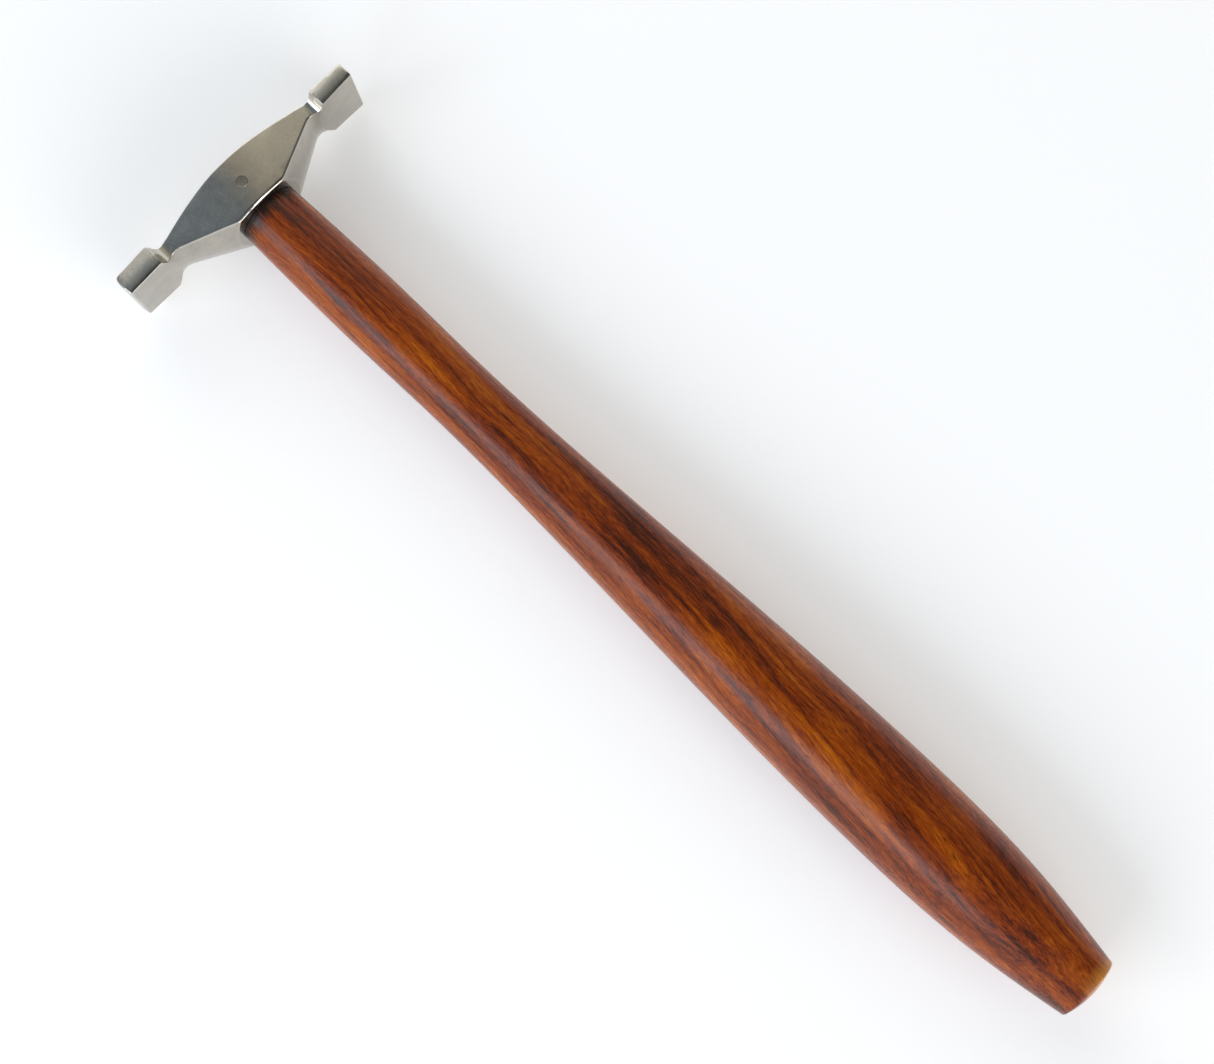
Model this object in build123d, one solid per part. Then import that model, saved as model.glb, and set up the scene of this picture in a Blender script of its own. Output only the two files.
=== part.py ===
"""Double-ended raising hammer, laid on its side, in millimetres.

A steel head with a cross-wise face at each end sits on a turned hardwood handle. The handle's tenon
is bonded into a blind socket in the head's underside, and a pin crosses the cheeks and the tenon.

While the pieces are made, X runs from the handle's seat on the head towards the butt, Y runs along
the head towards its narrow face, Z is normal to the cheeks, and the seat's centre is the origin.
"""
import os

from build123d import *

# Head, side view: heights are above the seat (-X), the rest runs out along the head (Y)
CROWN_HEIGHT = 13.0
BLOCK_START = 26.2  # inner end of both blocks, from the handle's axis
BLOCK_UNDERSIDE = 6.2  # height of both blocks' lower faces
NECK_TOP_HEIGHT = 10.1  # where the crown meets the rise to a block
NECK_TOP_INSET = 2.0  # from there out to the block
NECK_TOP_RADIUS = 2.0

# Underside of the head, turned about an axis parallel to Y, so that it is crowned across
UNDERSIDE_AXIS = 25.0  # height of that axis
LAND_HALF = 9.8  # flat land around the handle, before it rises to the necks
NECK_BOTTOM_HEIGHT = 7.2  # where the rise meets the drop to a block
NECK_BOTTOM_INSET = 2.9  # from there out to the block
NECK_BOTTOM_RADIUS = 3.5
DROP_RUN = 1.8  # from the block's inner end out to where the drop would reach the land's level

# Broad block, on the -Y side: its face is crowned from top to bottom
BROAD_LENGTH = 9.5
BROAD_TOP = 12.3
BROAD_CROWN = 0.4
BROAD_CORNER_RADIUS = 1.2

# Narrow block, on the +Y side: its face is flat, and its top falls a little towards it
NARROW_LENGTH = 8.9
NARROW_TOP = 11.2
NARROW_FALL = 0.8

# Head, seen along the handle: half the thickness, from the middle of the head out to the blocks
CHEEK_HALF = 10.0
CHEEK_BULGE_AT, CHEEK_BULGE_DROP = 8.0, 0.85
NECK_INSET, NECK_HALF = 1.6, 5.9  # where the cheek's taper meets the rise to a block
CHEEK_TAPER = 0.17  # slope of the cheek where it reaches the neck
NECK_SIDE_RADIUS = 2.6
BLOCK_SHOULDER = 10.2  # half the thickness at the blocks' inner ends, before they are turned

# The blocks' outer sides are turned about one axis, parallel to Y
TURNING_AXIS = 7.6  # height of that axis
BROAD_RADIUS_INNER = 9.5  # at the neck
BROAD_RADIUS_OUTER = 8.75
NARROW_RADIUS_INNER = 8.8  # at the neck
NARROW_RADIUS_OUTER = 9.65

SEAT_BEVEL = 0.35  # along the land's edges on both cheeks

# Handle: radius at each turning point; the first three lie that far from the seat
HANDLE_LENGTH = 252.2  # seat to the butt's edge
SHOULDER_RADIUS = 7.8
BULGE_AT, BULGE_RADIUS = 36.0, 8.37
WAIST_AT, WAIST_RADIUS = 59.0, 8.09
FLARE_AT, FLARE_RADIUS = 98.0, 9.0
SWELL_FROM_BUTT, SWELL_RADIUS = 57.2, 12.5
PALM_FROM_BUTT, PALM_RADIUS = 24.2, 11.27
BUTT_RADIUS = 7.75
BUTT_DOME = 1.4
BUTT_EDGE_RADIUS = 0.3

# Tenon, socket and pin
TENON_RADIUS = 5.6
TENON_LENGTH = 9.6
BOND_GAP = 0.2  # adhesive around the tenon
BOND_BED = 0.3  # adhesive under the tenon's end
PIN_RADIUS = 1.4
PIN_HEIGHT = 6.3  # above the seat

OVERSIZE = 60.0  # reach of the solids that only trim others
TOLERANCE = 0.01


def head_side_view():
    """Outline of the head as seen square to its cheeks."""
    top = -NECK_TOP_HEIGHT
    neck = BLOCK_START - NECK_TOP_INSET
    underside = -BLOCK_UNDERSIDE
    step = BLOCK_START - NECK_BOTTOM_INSET
    narrow_face = BLOCK_START + NARROW_LENGTH
    broad_face = -BLOCK_START - BROAD_LENGTH
    crown = ThreePointArc((top, -neck), (-CROWN_HEIGHT, 0), (top, neck))
    narrow_end = Polyline(
        (top, neck),
        (-NARROW_TOP, BLOCK_START),
        (-NARROW_TOP + NARROW_FALL, narrow_face),
        (underside, narrow_face),
        (underside, step),
        (0, step),
        (0, -step),
        (underside, -step),
        (underside, broad_face),
    )
    face_middle = (-(BLOCK_UNDERSIDE + BROAD_TOP) / 2, broad_face - BROAD_CROWN)
    broad_crown = ThreePointArc((underside, broad_face), face_middle, (-BROAD_TOP, broad_face))
    broad_top = Polyline((-BROAD_TOP, broad_face), (-BROAD_TOP, -BLOCK_START), (top, -neck))
    outline = make_face([*crown.edges(), *narrow_end.edges(), *broad_crown.edges(), *broad_top.edges()])
    outline = round_corner(outline, top, neck, NECK_TOP_RADIUS)
    outline = round_corner(outline, top, -neck, NECK_TOP_RADIUS)
    return round_corner(outline, -BROAD_TOP, broad_face, BROAD_CORNER_RADIUS)


def head_end_view():
    """Outline of the head as seen along the handle: bulged cheeks, tapers and grooved necks."""
    neck = BLOCK_START - NECK_INSET
    bulge_half = CHEEK_HALF - CHEEK_BULGE_DROP
    edges = []
    for side in (1, -1):
        cheek = Spline(
            (-neck, side * NECK_HALF),
            (-CHEEK_BULGE_AT, side * bulge_half),
            (0, side * CHEEK_HALF),
            (CHEEK_BULGE_AT, side * bulge_half),
            (neck, side * NECK_HALF),
            tangents=[(1, side * CHEEK_TAPER), (1, -side * CHEEK_TAPER)],
        )
        edges += cheek.edges()
    for end in (1, -1):
        rim = Polyline(
            (end * neck, NECK_HALF),
            (end * BLOCK_START, BLOCK_SHOULDER),
            (end * OVERSIZE, OVERSIZE / 2),
            (end * OVERSIZE, -OVERSIZE / 2),
            (end * BLOCK_START, -BLOCK_SHOULDER),
            (end * neck, -NECK_HALF),
        )
        edges += rim.edges()
    outline = make_face(edges)
    for end in (1, -1):
        for side in (1, -1):
            outline = round_corner(outline, end * neck, side * NECK_HALF, NECK_SIDE_RADIUS)
    return outline


def turned_underside():
    """Body whose lower surface is the crowned underside, from the land out to both necks."""
    neck = BLOCK_START - NECK_BOTTOM_INSET
    drop_end = BLOCK_START + DROP_RUN
    ridge = NECK_BOTTOM_HEIGHT * LAND_HALF / (neck - LAND_HALF)  # where both rises would meet
    outline = make_face(
        Polyline(
            (-UNDERSIDE_AXIS, -OVERSIZE),
            (OVERSIZE, -OVERSIZE),
            (0, -drop_end),
            (-NECK_BOTTOM_HEIGHT, -neck),
            (ridge, 0),
            (-NECK_BOTTOM_HEIGHT, neck),
            (0, drop_end),
            (OVERSIZE, OVERSIZE),
            (-UNDERSIDE_AXIS, OVERSIZE),
            close=True,
        )
    )
    outline = round_corner(outline, -NECK_BOTTOM_HEIGHT, neck, NECK_BOTTOM_RADIUS)
    outline = round_corner(outline, -NECK_BOTTOM_HEIGHT, -neck, NECK_BOTTOM_RADIUS)
    return revolve(outline, Axis((-UNDERSIDE_AXIS, 0, 0), (0, 1, 0)))


def round_corner(outline, x, y, radius):
    """Fillet the corner of a flat outline that is nearest to a point."""
    corner = outline.vertices().sort_by_distance((x, y, 0))[0]
    return fillet(corner, radius)


def turned_block(length, radius_inner, radius_outer, end):
    """Turned blank of one block, from the head's neck outwards."""
    neck = BLOCK_START - NECK_INSET
    reach = length + NECK_INSET
    growth = (radius_outer - radius_inner) / reach
    blank = Cone(
        radius_inner,
        radius_outer + growth * BROAD_CROWN,
        reach + BROAD_CROWN,
        align=(Align.CENTER, Align.CENTER, Align.MIN),
    )
    outwards = Plane(origin=(-TURNING_AXIS, end * neck, 0), x_dir=(1, 0, 0), z_dir=(0, end, 0))
    return outwards * blank


def head_blank():
    """Outer shape of the head, before the socket and the pin's hole."""
    side = extrude(head_side_view(), amount=OVERSIZE, both=True)
    ends = extrude(Plane.YZ * head_end_view(), amount=OVERSIZE, both=True)
    middle = Box(2 * OVERSIZE, 2 * (BLOCK_START - NECK_INSET), 2 * OVERSIZE)
    broad = turned_block(BROAD_LENGTH, BROAD_RADIUS_INNER, BROAD_RADIUS_OUTER, -1)
    narrow = turned_block(NARROW_LENGTH, NARROW_RADIUS_INNER, NARROW_RADIUS_OUTER, 1)
    blank = side & ends & (middle + broad + narrow) & turned_underside()
    seat_edges = blank.edges().filter_by(lambda edge: is_seat_edge(edge))
    return chamfer(seat_edges, SEAT_BEVEL)


def is_seat_edge(edge):
    """Whether an edge of the head is one of the two where the land meets a cheek."""
    middle = edge.center()
    return abs(middle.X) < TOLERANCE and abs(middle.Y) < TOLERANCE and abs(middle.Z) > TENON_RADIUS


def along_handle(start, end, radius):
    """Cylinder on the handle's axis between two distances from the seat."""
    blank = Cylinder(radius, end - start, align=(Align.CENTER, Align.CENTER, Align.MIN))
    return Plane(origin=(start, 0, 0), x_dir=(0, 1, 0), z_dir=(1, 0, 0)) * blank


def socket():
    """Blind hole in the land, larger than the tenon by the adhesive around and under it."""
    return along_handle(-TENON_LENGTH - BOND_BED, 0, TENON_RADIUS + BOND_GAP)


def pin_hole():
    """Straight hole through both cheeks and the tenon."""
    return Pos(-PIN_HEIGHT, 0, 0) * Cylinder(PIN_RADIUS, OVERSIZE)


def make_head(blank):
    """Head with its socket and the pin's hole."""
    return blank - socket() - pin_hole()


def make_handle():
    """Turned handle: shoulder, slim waist, palm swell and domed butt, with the tenon in front."""
    back = Spline(
        (0, SHOULDER_RADIUS),
        (BULGE_AT, BULGE_RADIUS),
        (WAIST_AT, WAIST_RADIUS),
        (FLARE_AT, FLARE_RADIUS),
        (HANDLE_LENGTH - SWELL_FROM_BUTT, SWELL_RADIUS),
        (HANDLE_LENGTH - PALM_FROM_BUTT, PALM_RADIUS),
        (HANDLE_LENGTH, BUTT_RADIUS),
    )
    tip = HANDLE_LENGTH + BUTT_DOME
    dome = ThreePointArc((HANDLE_LENGTH, BUTT_RADIUS), (tip, 0), (HANDLE_LENGTH, -BUTT_RADIUS))
    half_dome = dome.trim(0, 0.5)
    tenon = Polyline(
        (tip, 0),
        (-TENON_LENGTH, 0),
        (-TENON_LENGTH, TENON_RADIUS),
        (0, TENON_RADIUS),
        (0, SHOULDER_RADIUS),
    )
    half = make_face([*back.edges(), *half_dome.edges(), *tenon.edges()])
    half = round_corner(half, HANDLE_LENGTH, BUTT_RADIUS, BUTT_EDGE_RADIUS)
    return revolve(half, Axis.X) - pin_hole()


def make_pin(blank):
    """Pin through both cheeks, ground flush with them."""
    return blank & pin_hole()


def make_bond():
    """Adhesive that fills the socket around and under the tenon."""
    tenon = along_handle(-TENON_LENGTH, 0, TENON_RADIUS)
    return socket() - tenon - pin_hole()


def lay_down(pieces):
    """Centre the hammer over the origin in X and Y, with its lowest line on Z = 0."""
    box = Compound(list(pieces.values())).bounding_box()
    middle = box.center()
    place = Pos(-middle.X, -middle.Y, -box.min.Z)
    return {name: place * piece for name, piece in pieces.items()}


def main():
    blank = head_blank()
    pieces = {
        "hammer_head": make_head(blank),
        "handle": make_handle(),
        "cross_pin": make_pin(blank),
        "epoxy_bond": make_bond(),
    }
    os.makedirs("parts", exist_ok=True)
    for name, piece in lay_down(pieces).items():
        export_step(piece, f"parts/{name}.step")


main()
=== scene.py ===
"""A raising hammer lying on its side: polished steel head, turned rosewood handle, pin and adhesive."""

from math import ceil, hypot, pi, radians

import bpy
from mathutils import Euler, Matrix, Vector


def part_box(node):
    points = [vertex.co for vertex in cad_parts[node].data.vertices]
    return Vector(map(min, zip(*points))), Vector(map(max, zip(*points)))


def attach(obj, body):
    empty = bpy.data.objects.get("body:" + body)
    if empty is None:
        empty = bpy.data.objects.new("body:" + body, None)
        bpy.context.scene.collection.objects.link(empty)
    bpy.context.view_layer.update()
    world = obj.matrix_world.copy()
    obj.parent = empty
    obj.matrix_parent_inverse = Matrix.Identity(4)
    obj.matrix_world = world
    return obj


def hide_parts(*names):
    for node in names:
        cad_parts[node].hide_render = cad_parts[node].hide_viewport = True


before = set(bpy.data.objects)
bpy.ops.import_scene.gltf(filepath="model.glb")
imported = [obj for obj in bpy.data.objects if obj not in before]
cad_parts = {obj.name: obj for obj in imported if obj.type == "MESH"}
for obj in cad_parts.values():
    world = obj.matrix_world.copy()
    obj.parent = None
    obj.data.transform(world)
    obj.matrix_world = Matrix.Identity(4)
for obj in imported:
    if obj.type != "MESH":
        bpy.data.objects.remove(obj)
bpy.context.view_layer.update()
MM = 0.001

# Places taken from the CAD nodes, in metres
SEAT_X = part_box("hammer_head")[1].x
HANDLE_LOW, HANDLE_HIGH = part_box("handle")
AXIS_Y = (HANDLE_LOW.y + HANDLE_HIGH.y) / 2
AXIS_Z = (HANDLE_LOW.z + HANDLE_HIGH.z) / 2
PIN_LOW, PIN_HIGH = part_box("cross_pin")
PIN_MIDDLE = (PIN_LOW + PIN_HIGH) / 2
PIN_RADIUS = (PIN_HIGH.x - PIN_LOW.x) / 2
SOCKET_LOW, SOCKET_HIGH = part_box("epoxy_bond")
SOCKET_RADIUS = (SOCKET_HIGH.y - SOCKET_LOW.y) / 2
HANDLE_LENGTH = (HANDLE_HIGH.x - SEAT_X) / MM


def srgb(code):
    """Linear colour of an sRGB hex code such as 'b06a1e'."""
    steps = [int(code[i:i + 2], 16) / 255 for i in (0, 2, 4)]
    return [s / 12.92 if s <= 0.04045 else ((s + 0.055) / 1.055) ** 2.4 for s in steps] + [1.0]


# ---------------------------------------------------------------- making meshes

def deselect():
    """Leave nothing selected."""
    bpy.ops.object.select_all(action="DESELECT")


def pick(piece):
    """Select one piece alone and make it the active one."""
    deselect()
    piece.select_set(True)
    bpy.context.view_layer.objects.active = piece


def newest(name):
    """Name the primitive that was just added, and settle its place into its mesh."""
    piece = bpy.context.object
    piece.name = name
    piece.data.name = name
    pick(piece)
    bpy.ops.object.transform_apply(location=True, rotation=True, scale=True)
    return piece


def edit(piece):
    """Open one piece in edit mode."""
    pick(piece)
    bpy.ops.object.mode_set(mode="EDIT")


def leave_edit():
    """Go back to object mode."""
    bpy.ops.object.mode_set(mode="OBJECT")


def apply_modifier(piece, kind, **settings):
    """Add one modifier to a piece and apply it."""
    pick(piece)
    modifier = piece.modifiers.new(kind.title(), kind)
    for key, value in settings.items():
        setattr(modifier, key, value)
    bpy.ops.object.modifier_apply(modifier=modifier.name)


def smooth(piece, degrees):
    """Shade smooth, except over edges sharper than so many degrees."""
    pick(piece)
    bpy.ops.object.shade_smooth_by_angle(angle=radians(degrees))


# ---------------------------------------------------------------- materials

def material(name):
    """A new material with an empty node tree."""
    made = bpy.data.materials.new(name)
    made.use_nodes = True
    made.node_tree.nodes.clear()
    return made


def node(made, kind, feeds, out=0, stops=(), **settings):
    """Add a node to a material or world and give one of its outputs.

    Feeds are its inputs' values or the outputs that reach them, settings its own properties, and
    stops a colour ramp's places and hex colours.
    """
    added = made.node_tree.nodes.new(kind)
    for key, value in settings.items():
        setattr(added, key, value)
    for key, feed in feeds.items():
        if isinstance(feed, bpy.types.NodeSocket):
            made.node_tree.links.new(feed, added.inputs[key])
        else:
            added.inputs[key].default_value = feed
    for place, (position, code) in enumerate(stops):
        if place > 1:
            added.color_ramp.elements.new(position)
        added.color_ramp.elements[place].position = position
        added.color_ramp.elements[place].color = srgb(code)
    return added.outputs[out] if added.outputs else added


# Width of the soft patches of haze that a buff leaves, and how far a polishing line runs for its width
HAZE = 5.56 * MM
LINE_RUN = 4


def steel(name, roughness, spread, tones, lines, depth):
    """Steel in two tones, with the buff's haze and so many polishing lines to a millimetre.

    Real lines are a few times finer. They are drawn this coarse so that they show.
    """
    made = material(name)
    across = lines / MM
    run = across / LINE_RUN
    place = node(made, "ShaderNodeTexCoord", {}, "Object")
    soft = node(made, "ShaderNodeVectorMath", {0: place, 1: [1 / HAZE] * 3}, operation="MULTIPLY")
    haze = node(made, "ShaderNodeTexNoise", {"Vector": soft, "Scale": 1, "Detail": 3, "Roughness": 0.6})
    drawn = node(made, "ShaderNodeVectorMath", {0: place, 1: (run, across, run)}, operation="MULTIPLY")
    lined = node(made, "ShaderNodeTexNoise", {"Vector": drawn, "Scale": 1, "Detail": 2, "Roughness": 0.6})
    both = node(made, "ShaderNodeMath", {0: haze, 1: lined}, operation="ADD")
    share = node(made, "ShaderNodeMapRange", {"Value": both, "From Min": 0.75, "From Max": 1.25})
    tone = node(made, "ShaderNodeValToRGB", {"Fac": share}, stops=[(0, tones[0]), (1, tones[1])])
    rough = node(made, "ShaderNodeMapRange",
                 {"Value": share, "To Min": roughness - spread, "To Max": roughness + spread})
    bump = node(made, "ShaderNodeBump", {"Height": lined, "Strength": 0.5, "Distance": depth * MM})
    body = node(made, "ShaderNodeBsdfPrincipled",
                {"Base Color": tone, "Roughness": rough, "Normal": bump, "Metallic": 1})
    node(made, "ShaderNodeOutputMaterial", {"Surface": body})
    return made


# Marks in the wood: their length along the grain and width across it in millimetres, and their detail
WOOD_MARKS = {"bands": (83.3, 4.76, 3), "streaks": (22.2, 1.053, 4),
              "fibres": (2.5, 0.3125, 3), "pores": (1.818, 0.2174, 1)}
WOOD_TONES = [(0.34, "2b1107"), (0.41, "4f1d06"), (0.47, "742c04"), (0.54, "914103"), (0.64, "b25e04")]
# How far the grain leans to one side at the butt and wavers on the way, and a waver's length and width
GRAIN_LEAN = 18.0
GRAIN_WAVER = 6.0
WAVER_MARK = (50.0, 11.1)


def rosewood():
    """Oiled rosewood: orange-brown with soft red and near-black bands along the grain and short dark pores.

    The eye gets the bands first, then fine fibres, and a satin film that holds one broad highlight.
    """
    made = material("oiled_rosewood")
    thing = node(made, "ShaderNodeTexCoord", {}, "Object")
    moved = node(made, "ShaderNodeVectorMath", {0: thing, 1: (SEAT_X, AXIS_Y, AXIS_Z)}, operation="SUBTRACT")
    place = node(made, "ShaderNodeVectorMath", {0: moved, 1: [1 / MM] * 3}, operation="MULTIPLY")
    along = node(made, "ShaderNodeSeparateXYZ", {"Vector": place}, "X")
    squared = node(made, "ShaderNodeMath", {0: along, 1: along}, operation="MULTIPLY")
    bent = node(made, "ShaderNodeMath", {0: squared, 1: GRAIN_LEAN / HANDLE_LENGTH ** 2},
                operation="MULTIPLY")
    lean = node(made, "ShaderNodeCombineXYZ", {"Y": bent})
    length, width = WAVER_MARK
    slow = node(made, "ShaderNodeVectorMath", {0: place, 1: (1 / length, 1 / width, 1 / width)},
                operation="MULTIPLY")
    drift = node(made, "ShaderNodeTexNoise", {"Vector": slow, "Scale": 1, "Detail": 2}, "Color")
    level = node(made, "ShaderNodeVectorMath", {0: drift, 1: (0.5, 0.5, 0.5)}, operation="SUBTRACT")
    waver = node(made, "ShaderNodeVectorMath", {0: level, 1: (0, GRAIN_WAVER, GRAIN_WAVER)},
                 operation="MULTIPLY")
    leaning = node(made, "ShaderNodeVectorMath", {0: place, 1: lean}, operation="ADD")
    grain = node(made, "ShaderNodeVectorMath", {0: leaning, 1: waver}, operation="ADD")
    seen = {}
    for name, (length, width, detail) in WOOD_MARKS.items():
        scaled = node(made, "ShaderNodeVectorMath", {0: grain, 1: (1 / length, 1 / width, 1 / width)},
                      operation="MULTIPLY")
        seen[name] = node(made, "ShaderNodeTexNoise",
                          {"Vector": scaled, "Scale": 1, "Detail": detail, "Roughness": 0.56})
    broad = node(made, "ShaderNodeMix", {"Factor": 0.42, "A": seen["bands"], "B": seen["streaks"]})
    figure = node(made, "ShaderNodeMix", {"Factor": 0.24, "A": broad, "B": seen["fibres"]})
    tone = node(made, "ShaderNodeValToRGB", {"Fac": figure}, stops=WOOD_TONES)
    pore = node(made, "ShaderNodeMapRange",
                {"Value": seen["pores"], "From Min": 0.62, "From Max": 0.72, "To Min": 0.0, "To Max": 0.7})
    pored = node(made, "ShaderNodeMix", {0: pore, 6: tone, 7: srgb("260f08")}, 2, data_type="RGBA")
    # Painted shade: the wood is darkened over the first few millimetres beside the seat, in blotches along
    # the streaks, where the head shades it
    painted_shade_reach = node(made, "ShaderNodeMapRange",
                {"Value": along, "From Min": 0.2, "From Max": 5.0, "To Min": 0.60, "To Max": 0.0})
    painted_shade_edge = node(made, "ShaderNodeMath", {0: painted_shade_reach, 1: seen["streaks"]}, operation="SUBTRACT")
    painted_shade_mask = node(made, "ShaderNodeMapRange", {"Value": painted_shade_edge, "From Min": -0.45, "From Max": 0.0})
    painted_shade_colour = node(made, "ShaderNodeMix", {0: painted_shade_mask, 6: pored, 7: srgb("20110a")}, 2, data_type="RGBA")
    # Painted highlight: a pale patch on one side of the butt's end stands for the floor's light reflected in
    # its rounded rim
    end = node(made, "ShaderNodeMapRange",
               {"Value": along, "From Min": HANDLE_LENGTH - 4.6, "From Max": HANDLE_LENGTH - 1.8})
    side = node(made, "ShaderNodeSeparateXYZ", {"Vector": place}, "Y")
    painted_highlight_side = node(made, "ShaderNodeMapRange",
                   {"Value": side, "From Min": -3.0, "From Max": 3.0, "To Min": 0.0, "To Max": 0.8})
    painted_highlight_mask = node(made, "ShaderNodeMath", {0: end, 1: painted_highlight_side}, operation="MULTIPLY")
    colour = node(made, "ShaderNodeMix", {0: painted_highlight_mask, 6: painted_shade_colour, 7: srgb("b87a34")}, 2, data_type="RGBA")
    rough = node(made, "ShaderNodeMapRange",
                 {"Value": seen["fibres"], "From Min": 0.3, "From Max": 0.7, "To Min": 0.21, "To Max": 0.33})
    height = node(made, "ShaderNodeMath", {0: seen["fibres"], 1: pore}, operation="SUBTRACT")
    bump = node(made, "ShaderNodeBump", {"Height": height, "Strength": 0.4, "Distance": 0.05 * MM})
    wood = node(made, "ShaderNodeBsdfPrincipled",
                {"Base Color": colour, "Roughness": rough, "Normal": bump, "IOR": 1.37})
    node(made, "ShaderNodeOutputMaterial", {"Surface": wood})
    return made


def cured_epoxy():
    """Cured epoxy: clear amber, with the half-millimetre bubbles of hand mixing."""
    made = material("cured_epoxy")
    place = node(made, "ShaderNodeTexCoord", {}, "Object")
    bubbles = node(made, "ShaderNodeTexNoise", {"Vector": place, "Scale": 1 / (0.5 * MM), "Detail": 2})
    tone = node(made, "ShaderNodeValToRGB", {"Fac": bubbles}, stops=[(0.35, "a5813f"), (0.65, "cdb069")])
    bump = node(made, "ShaderNodeBump", {"Height": bubbles, "Strength": 0.3, "Distance": 0.05 * MM})
    resin = node(made, "ShaderNodeBsdfPrincipled",
                 {"Base Color": tone, "Normal": bump, "Roughness": 0.2, "IOR": 1.55})
    node(made, "ShaderNodeOutputMaterial", {"Surface": resin})
    return made


def white_paper():
    """Matt white paper with light coming through it, so that only soft shade shows around the hammer."""
    made = material("white_paper")
    sheet = node(made, "ShaderNodeBsdfPrincipled",
                 {"Base Color": (0.9, 0.9, 0.9, 1), "Roughness": 1, "IOR": 1, "Emission Color": (1, 1, 1, 1),
                  "Emission Strength": 0.20})
    node(made, "ShaderNodeOutputMaterial", {"Surface": sheet})
    return made


# Satin gives the cheeks and blocks a soft grey that takes the room's light and shade in wide patches
SATIN = steel("satin_stainless_steel", 0.22, 0.04, ("a9a59d", "bcb7ac"), lines=5.0, depth=0.004)
# Buffed steel gives the necks and every broken edge a hard, bright glint
BRIGHT = steel("buffed_stainless_steel", 0.07, 0.03, ("b4b0a8", "c0bbb0"), lines=3.0, depth=0.002)
# The pin's ground end is a shade darker and duller than the cheek around it
PIN_STEEL = steel("ground_pin_steel", 0.32, 0.06, ("8f8b83", "a29d93"), lines=6.0, depth=0.008)
WOOD = rosewood()
EPOXY = cured_epoxy()
PAPER = white_paper()

# ---------------------------------------------------------------- head

# Breadth of the buffed edges, and the share of it that the buff leaves inside the necks
EDGE_BREAK = 0.42 * MM
NECK_SHARE = 0.15
# Distances from the middle of the head between which lie each neck's own edges, and its bright part
NECK_EDGES = (22.6 * MM, 28.2 * MM)
NECK_BRIGHT = (24.0 * MM, 26.5 * MM)


def finish_piece(piece, node_name):
    """Put a finished piece in its CAD node's place."""
    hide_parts(node_name)
    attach(piece, "root")


def weigh_edges(piece, numbers, weight):
    """Give some edges their share of the bevel."""
    edit(piece)
    bpy.ops.mesh.select_all(action="DESELECT")
    leave_edit()
    for number in numbers:
        piece.data.edges[number].select = True
    edit(piece)
    bpy.ops.transform.edge_bevelweight(value=weight)
    leave_edit()


def polished_head():
    """The head, with every edge broken as a buff leaves it, and its necks and edges buffed bright."""
    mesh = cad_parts["hammer_head"].data.copy()
    head = bpy.data.objects.new("polished_head", mesh)
    bpy.context.scene.collection.objects.link(head)
    edit(head)
    bpy.ops.mesh.select_all(action="SELECT")
    bpy.ops.mesh.remove_doubles(threshold=0.002 * MM)
    bpy.ops.mesh.dissolve_limited(angle_limit=radians(0.2))
    bpy.ops.mesh.select_mode(type="EDGE")
    bpy.ops.mesh.select_all(action="DESELECT")
    bpy.ops.mesh.edges_select_sharp(sharpness=radians(25))
    leave_edit()
    # The pin's hole and the socket keep the sharp edges that a drill leaves
    centre = Vector((PIN_MIDDLE.x, PIN_MIDDLE.y, AXIS_Z))
    outer, inside_necks = [], []
    for edge in mesh.edges:
        ends = [mesh.vertices[i].co - centre for i in edge.vertices]
        in_hole = all(hypot(end.x, end.y) < PIN_RADIUS + 0.6 * MM for end in ends)
        in_socket = all(hypot(end.y, end.z) < SOCKET_RADIUS + 0.4 * MM for end in ends)
        if edge.select and not in_hole and not in_socket:
            in_neck = all(NECK_EDGES[0] < abs(end.y) < NECK_EDGES[1] for end in ends)
            (inside_necks if in_neck else outer).append(edge.index)
    weigh_edges(head, outer, 1.0)
    weigh_edges(head, inside_necks, NECK_SHARE)
    bpy.ops.mesh.customdata_custom_splitnormals_clear()
    mesh.materials.clear()
    for finish in (SATIN, BRIGHT):
        mesh.materials.append(finish)
    for face in mesh.polygons:
        in_bright = NECK_BRIGHT[0] < abs(face.center.y - AXIS_Y) < NECK_BRIGHT[1]
        face.material_index = 1 if in_bright and abs(face.normal.y) > 0.25 else 0
    apply_modifier(head, "BEVEL", width=EDGE_BREAK, segments=3, limit_method="WEIGHT",
                   use_clamp_overlap=False, material=1)
    smooth(head, 35)
    apply_modifier(head, "WEIGHTED_NORMAL", keep_sharp=True, weight=80)
    finish_piece(head, "hammer_head")


# ---------------------------------------------------------------- handle

# Distance from the seat and radius at each turning point, in millimetres
TURNING = [(0.0, 7.8), (36.0, 8.37), (59.0, 8.09), (98.0, 9.0), (195.0, 12.5), (228.0, 11.27), (252.2, 7.75)]
GLUE_GAP = 0.2
RING_STEP = 2.0
FIRST_RING = 0.5
DOME_RINGS = 10


def spline_bends():
    """How sharply a natural spline bends at each turning point: not at all at its ends.

    The inner points come from forward elimination and back substitution.
    """
    gaps = [b[0] - a[0] for a, b in zip(TURNING, TURNING[1:])]
    rises = [(b[1] - a[1]) / gap for a, b, gap in zip(TURNING, TURNING[1:], gaps)]
    diagonal, right = [], []
    for i in range(1, len(gaps)):
        own = 2 * (gaps[i - 1] + gaps[i])
        turn = 6 * (rises[i] - rises[i - 1])
        if diagonal:
            own -= gaps[i - 1] ** 2 / diagonal[-1]
            turn -= gaps[i - 1] * right[-1] / diagonal[-1]
        diagonal.append(own)
        right.append(turn)
    bends = [0.0] * len(TURNING)
    for i in range(len(diagonal), 0, -1):
        bends[i] = (right[i - 1] - gaps[i] * bends[i + 1]) / diagonal[i - 1]
    return bends


BENDS = spline_bends()


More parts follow.
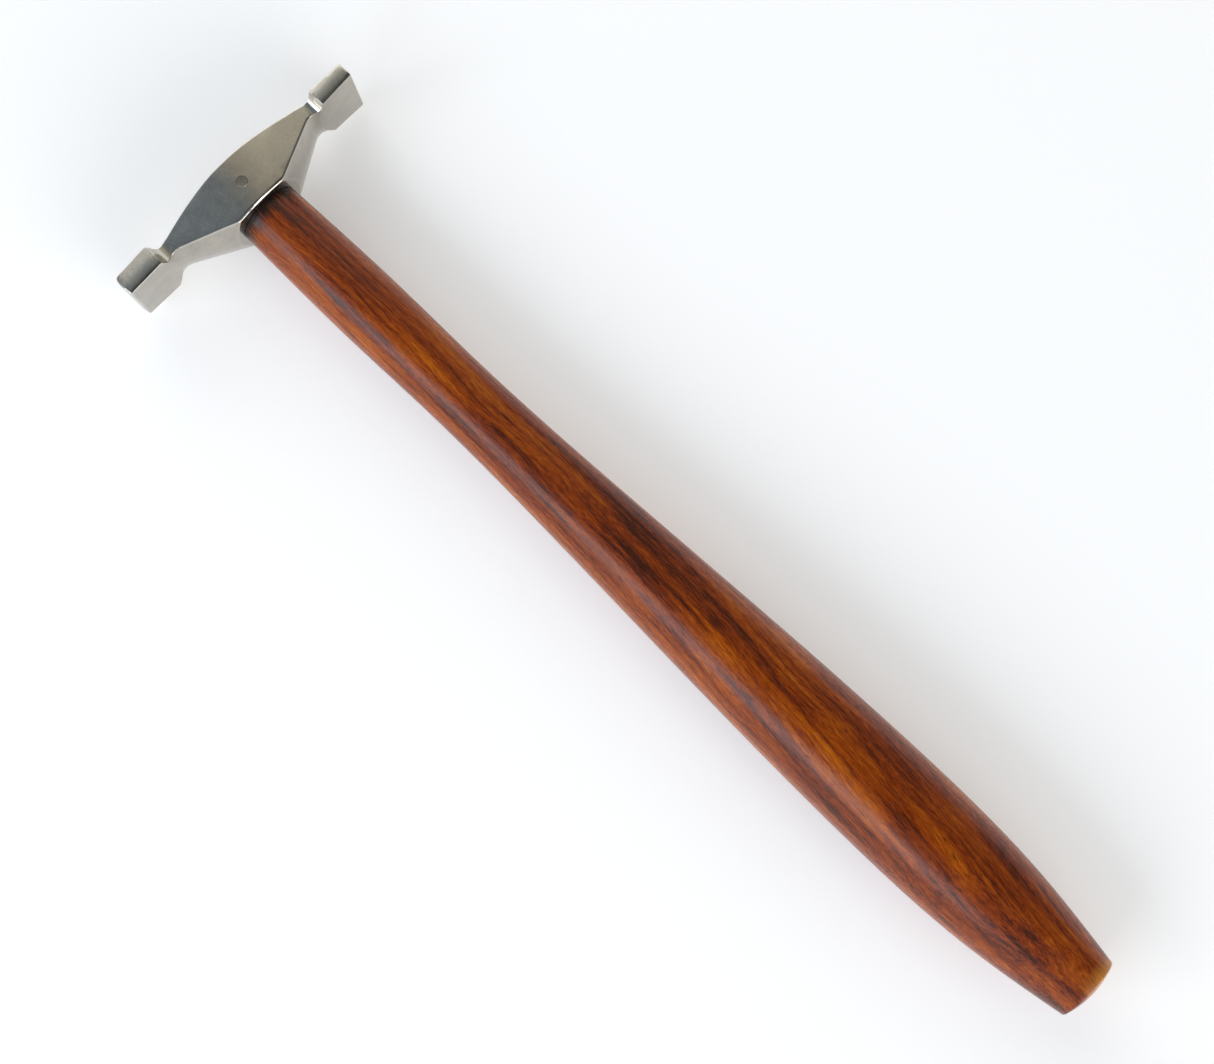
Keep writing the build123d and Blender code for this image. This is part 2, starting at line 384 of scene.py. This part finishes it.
def turned_radius(at):
    """Radius of the handle at a distance from the seat: one smooth curve through the turning points."""
    k = max(i for i, (start, _) in enumerate(TURNING[:-1]) if at >= start)
    (start, first), (stop, last) = TURNING[k:k + 2]
    gap = stop - start
    ahead = stop - at
    behind = at - start
    curve = (BENDS[k] * ahead ** 3 + BENDS[k + 1] * behind ** 3) / (6 * gap)
    slopes = (first / gap - BENDS[k] * gap / 6, last / gap - BENDS[k + 1] * gap / 6)
    return curve + slopes[0] * ahead + slopes[1] * behind


def turning_rings():
    """Distance from the seat and radius of every ring of the handle, from the tenon's end to the butt."""
    tenon_end = (HANDLE_LOW.x - SEAT_X) / MM
    tenon = SOCKET_RADIUS / MM - GLUE_GAP
    shoulder = TURNING[0][1]
    butt, rim = TURNING[-1]
    crown = HANDLE_LENGTH - butt
    # The tenon meets the shoulder in a small fillet, and the shoulder's rim is broken
    rings = [(tenon_end, tenon), (-0.1, tenon), (0.0, tenon + 0.1), (0.0, shoulder - 0.15), (0.12, shoulder)]
    steps = ceil((butt - FIRST_RING) / RING_STEP)
    turned = [FIRST_RING + RING_STEP * step for step in range(steps)] + [butt - 0.25]
    rings += [(at, turned_radius(at)) for at in turned]
    # The butt's rim is broken too, and its end is a low dome
    rings += [(butt, rim - 0.12), (butt + 0.12, rim - 0.35)]
    shares = [k / DOME_RINGS for k in range(DOME_RINGS - 1, 0, -1)]
    rings += [(butt + crown * (1 - share ** 2), rim * share) for share in shares]
    return rings


def turned_handle():
    """The handle, drawn out ring by ring from the tenon's end to the butt, as it is turned."""
    rings = turning_rings()
    at, radius = rings[0]
    deselect()
    bpy.ops.mesh.primitive_circle_add(vertices=128, radius=radius * MM, fill_type="NGON",
                                      location=(SEAT_X + at * MM, AXIS_Y, AXIS_Z), rotation=(0, pi / 2, 0))
    handle = newest("turned_handle")
    edit(handle)
    bpy.ops.mesh.select_all(action="SELECT")
    bpy.ops.mesh.select_mode(type="EDGE")
    bpy.ops.mesh.region_to_loop()
    for next_at, next_radius in rings[1:]:
        bpy.ops.mesh.extrude_edges_move(TRANSFORM_OT_translate={"value": ((next_at - at) * MM, 0, 0)})
        scale = next_radius / radius
        bpy.ops.transform.resize(value=(1, scale, scale), center_override=(0, AXIS_Y, AXIS_Z))
        at, radius = next_at, next_radius
    bpy.ops.mesh.edge_face_add()
    bpy.ops.mesh.select_all(action="SELECT")
    bpy.ops.mesh.normals_make_consistent(inside=False)
    leave_edit()
    smooth(handle, 40)
    handle.data.materials.append(WOOD)
    finish_piece(handle, "handle")


# ---------------------------------------------------------------- pin

PIN_CHAMFER = 0.09 * MM
PIN_DISH = 0.02 * MM
DISH_EDGE = 0.40 * MM


def ground_pin():
    """The pin, its ends ground level with the cheeks and chamfered, which leaves a fine ring around each."""
    deselect()
    bpy.ops.mesh.primitive_cylinder_add(vertices=64, radius=PIN_RADIUS, depth=PIN_HIGH.z - PIN_LOW.z,
                                        location=PIN_MIDDLE)
    pin = newest("ground_pin")
    edit(pin)
    bpy.ops.mesh.select_mode(type="FACE")
    bpy.ops.mesh.select_all(action="DESELECT")
    leave_edit()
    for face in pin.data.polygons:
        face.select = abs(face.normal.z) > 0.9
    edit(pin)
    bpy.ops.mesh.inset(thickness=PIN_CHAMFER, depth=0)
    bpy.ops.mesh.inset(thickness=DISH_EDGE, depth=-PIN_DISH)
    leave_edit()
    for point in pin.data.vertices:
        out = hypot(point.co.x - PIN_MIDDLE.x, point.co.y - PIN_MIDDLE.y)
        if out > PIN_RADIUS - 0.01 * MM:
            point.co.z = min(max(point.co.z, PIN_LOW.z + PIN_CHAMFER), PIN_HIGH.z - PIN_CHAMFER)
    smooth(pin, 30)
    pin.data.materials.append(PIN_STEEL)
    finish_piece(pin, "cross_pin")


polished_head()
turned_handle()
ground_pin()
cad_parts["epoxy_bond"].material_slots[0].material = EPOXY

# ---------------------------------------------------------------- floor, light and camera

FLOOR_SIDE = 6.0


def bench_top():
    """The bench, covered with one wide sheet of white paper."""
    deselect()
    bpy.ops.mesh.primitive_plane_add(size=FLOOR_SIDE, location=(0, 0, 0))
    floor = newest("bench_top")
    floor.data.materials.append(PAPER)


def studio_walls():
    """White walls, a dimmer ceiling warmer to one side, a dark opening overhead, a window beyond the butt."""
    world = bpy.data.worlds.new("studio")
    bpy.context.scene.world = world
    world.use_nodes = True
    world.node_tree.nodes.clear()
    toward = node(world, "ShaderNodeTexCoord", {}, "Generated")
    ahead, side, up = (node(world, "ShaderNodeSeparateXYZ", {"Vector": toward}, axis) for axis in "XYZ")
    sideways = node(world, "ShaderNodeMapRange",
                    {"Value": side, "From Min": -0.6, "From Max": 0.6, "To Min": -0.08, "To Max": 0.60})
    lower = node(world, "ShaderNodeMapRange", {"Value": up, "To Min": 1.5, "To Max": 0.0})
    level = node(world, "ShaderNodeMath", {0: sideways, 1: lower}, operation="ADD")
    held = node(world, "ShaderNodeClamp", {"Value": level, "Min": 0.10, "Max": 1.15})
    opening = node(world, "ShaderNodeMapRange",
                   {"Value": up, "From Min": 0.950, "From Max": 0.988, "To Min": 1.0, "To Max": 0.12})
    open_room = node(world, "ShaderNodeMath", {0: held, 1: opening}, operation="MULTIPLY")
    # A dark curtain hangs on the right; it starts farther out beside the head
    start = node(world, "ShaderNodeMapRange",
                 {"Value": ahead, "From Min": -0.36, "From Max": -0.30, "To Min": -0.6, "To Max": 0.30})
    hung = node(world, "ShaderNodeMath", {0: side, 1: start}, operation="ADD")
    curtain = node(world, "ShaderNodeMapRange",
                   {"Value": hung, "From Min": 0.42, "From Max": 0.62, "To Min": 1.0, "To Max": 0.18})
    hung_room = node(world, "ShaderNodeMath", {0: open_room, 1: curtain}, operation="MULTIPLY")
    # Behind the head the wall is dim on the left and carries a white board on the right
    behind = node(world, "ShaderNodeMapRange", {"Value": ahead, "From Min": -0.60, "From Max": -0.88})
    board = node(world, "ShaderNodeMapRange",
                 {"Value": side, "From Min": -0.12, "From Max": 0.06, "To Min": 0.30, "To Max": 2.3})
    room = node(world, "ShaderNodeMix", {"Factor": behind, "A": hung_room, "B": board})
    window = node(world, "ShaderNodeMapRange",
                  {"Value": ahead, "From Min": 0.70, "From Max": 0.92, "To Min": 0.0, "To Max": 3.4})
    strength = node(world, "ShaderNodeMath", {0: room, 1: window}, operation="ADD")
    # The ceiling is cool on the left and warm on the right, and the walls are white
    right = node(world, "ShaderNodeMapRange", {"Value": side, "From Min": -0.3, "From Max": 0.15})
    warmth = node(world, "ShaderNodeMix", {0: right, 6: (0.80, 1.0, 1.24, 1), 7: (1.05, 1.0, 0.86, 1)}, 2,
                  data_type="RGBA")
    high = node(world, "ShaderNodeMapRange", {"Value": up, "From Min": 0.45, "From Max": 0.75})
    tint = node(world, "ShaderNodeMix", {0: high, 6: (1, 1, 1, 1), 7: warmth}, 2, data_type="RGBA")
    wall = node(world, "ShaderNodeBackground", {"Color": tint, "Strength": strength})
    node(world, "ShaderNodeOutputWorld", {"Surface": wall})


def left_softbox():
    """A wide, slightly cool softbox on the left, which lays one broad highlight along the handle."""
    light = bpy.data.lights.new("left_softbox", "AREA")
    light.shape = "RECTANGLE"
    light.size = 1.2
    light.size_y = 0.62
    light.energy = 8.6
    light.color = srgb("eef5ff")[:3]
    lamp = bpy.data.objects.new("left_softbox", light)
    bpy.context.scene.collection.objects.link(lamp)
    lamp.location = (-0.14, -1.06, 0.70)
    lamp.rotation_euler = (-lamp.location).to_track_quat("-Z", "Y").to_euler()


def camera_overhead():
    """A long lens half a metre above the handle, leaning a little to one side."""
    lens = bpy.data.cameras.new("camera")
    lens.sensor_width = 36.0
    lens.lens = 66.32
    camera = bpy.data.objects.new("camera", lens)
    bpy.context.scene.collection.objects.link(camera)
    spot = Vector((SEAT_X, AXIS_Y, AXIS_Z)) + Vector((181.23, -40.39, 494.05)) * MM
    turn = Euler([radians(angle) for angle in (9.163, 2.798, 44.061)])
    camera.matrix_world = Matrix.Translation(spot) @ turn.to_matrix().to_4x4()
    bpy.context.scene.camera = camera
    bpy.context.scene.view_settings.view_transform = "Standard"


bench_top()
studio_walls()
left_softbox()
camera_overhead()
